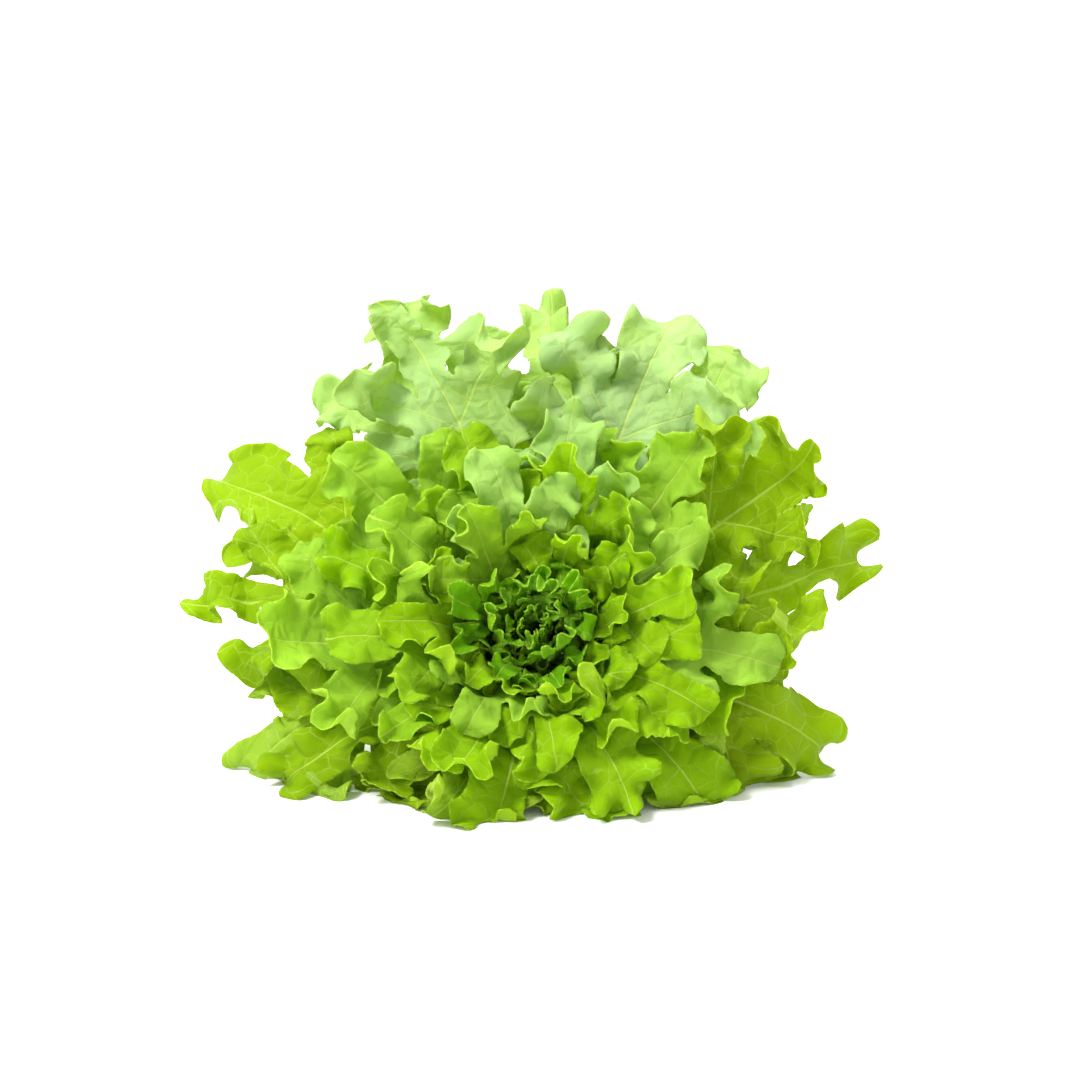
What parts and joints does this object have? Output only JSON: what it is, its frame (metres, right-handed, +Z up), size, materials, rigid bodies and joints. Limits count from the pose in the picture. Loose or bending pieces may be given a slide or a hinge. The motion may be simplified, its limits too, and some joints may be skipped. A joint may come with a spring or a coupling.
{
  "type": "oak leaf lettuce head",
  "caption": "Cut head of green oak leaf lettuce, lying on its lower leaves with its frilly heart to the front and its cut stem behind.",
  "frame": {"origin": "under the middle of the head's box, on the surface that it rests on", "axes": "+Z up, +X to the head's right as seen from the front; the heart faces -Y and upwards, the cut stem is towards +Y"},
  "size_m": [0.2958, 0.2312, 0.1855],
  "materials": {
    "outer_leaf": "thin living leaf, yellow green, faintly glossy above, paler and matt below, lets light through",
    "inner_leaf": "thin living leaf, fresh green, faintly glossy, lets light through",
    "heart_leaf": "small crisp leaves, deep green, faintly glossy",
    "stem": "pale crisp stem, matt, its cut face slightly browned"
  },
  "bodies": {
    "root": {"stem": "stem", "heart": "heart_leaf", "outer_leaf_01": "outer_leaf", "outer_leaf_02": "outer_leaf", "outer_leaf_03": "outer_leaf", "outer_leaf_04": "outer_leaf", "outer_leaf_05": "outer_leaf", "outer_leaf_06": "outer_leaf", "outer_leaf_07": "outer_leaf", "outer_leaf_08": "outer_leaf", "outer_leaf_09": "outer_leaf", "outer_leaf_10": "outer_leaf", "outer_leaf_11": "outer_leaf", "outer_leaf_12": "outer_leaf", "outer_leaf_13": "outer_leaf", "outer_leaf_14": "outer_leaf", "outer_leaf_15": "outer_leaf", "outer_leaf_16": "outer_leaf", "outer_leaf_17": "outer_leaf", "middle_leaf_01": "inner_leaf", "middle_leaf_02": "inner_leaf", "middle_leaf_03": "inner_leaf", "middle_leaf_04": "inner_leaf", "middle_leaf_05": "inner_leaf", "middle_leaf_06": "inner_leaf", "middle_leaf_07": "inner_leaf", "middle_leaf_08": "inner_leaf", "middle_leaf_09": "inner_leaf", "middle_leaf_10": "inner_leaf", "middle_leaf_11": "inner_leaf", "middle_leaf_12": "inner_leaf", "middle_leaf_13": "inner_leaf", "middle_leaf_14": "inner_leaf", "middle_leaf_15": "inner_leaf", "middle_leaf_16": "inner_leaf", "middle_leaf_17": "inner_leaf", "middle_leaf_18": "inner_leaf", "inner_leaf_01": "inner_leaf", "inner_leaf_02": "inner_leaf", "inner_leaf_03": "inner_leaf", "inner_leaf_04": "inner_leaf", "inner_leaf_05": "inner_leaf", "inner_leaf_06": "inner_leaf", "inner_leaf_07": "inner_leaf", "inner_leaf_08": "inner_leaf", "inner_leaf_09": "inner_leaf", "inner_leaf_10": "inner_leaf", "inner_leaf_11": "inner_leaf"}
  },
  "joints": []
}
